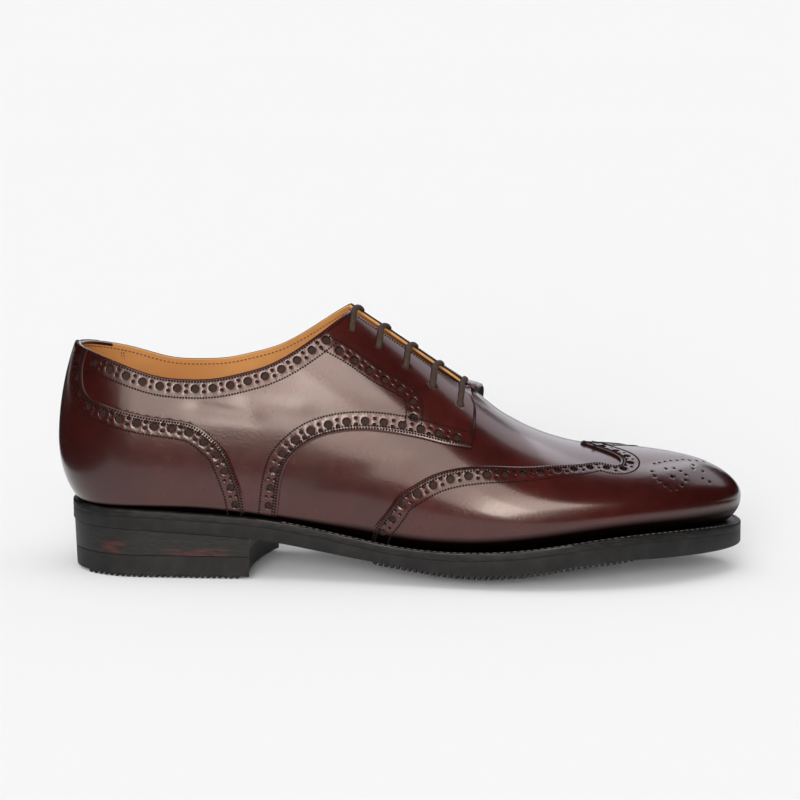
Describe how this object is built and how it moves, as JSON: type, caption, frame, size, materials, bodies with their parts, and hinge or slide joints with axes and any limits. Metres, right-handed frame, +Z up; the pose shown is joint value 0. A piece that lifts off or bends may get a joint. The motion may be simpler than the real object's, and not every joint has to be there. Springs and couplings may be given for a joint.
{
  "type": "lace-up dress shoe",
  "caption": "Right full brogue derby: hollow leather upper with wing cap, quarters and counter on a welted rubber sole with a block heel; laced with straight bars, open at the collar.",
  "frame": {"origin": "centre of the overall box on the floor", "axes": "+X from heel to toe, +Y towards the inner (medial) side, +Z up"},
  "size_m": [0.3095, 0.1068, 0.1197],
  "materials": {
    "upper_leather": "polished burgundy calf",
    "lining_leather": "tan vegetable-tanned lining, matt",
    "welt_leather": "black waxed edge",
    "sole_rubber": "black moulded rubber",
    "heel_leather": "black burnished stack",
    "lace_cord": "round waxed brown cord"
  },
  "bodies": {
    "root": {"upper": "upper_leather", "wing_cap": "upper_leather", "quarter_lateral": "upper_leather", "quarter_medial": "upper_leather", "heel_counter": "upper_leather", "tongue": "upper_leather", "insole": "lining_leather", "welt": "welt_leather", "outsole": "sole_rubber", "heel_stack": "heel_leather", "heel_top_piece": "sole_rubber", "lace_bar_1": "lace_cord", "lace_bar_2": "lace_cord", "lace_bar_3": "lace_cord", "lace_bar_4": "lace_cord", "lace_bar_5": "lace_cord"}
  },
  "joints": []
}
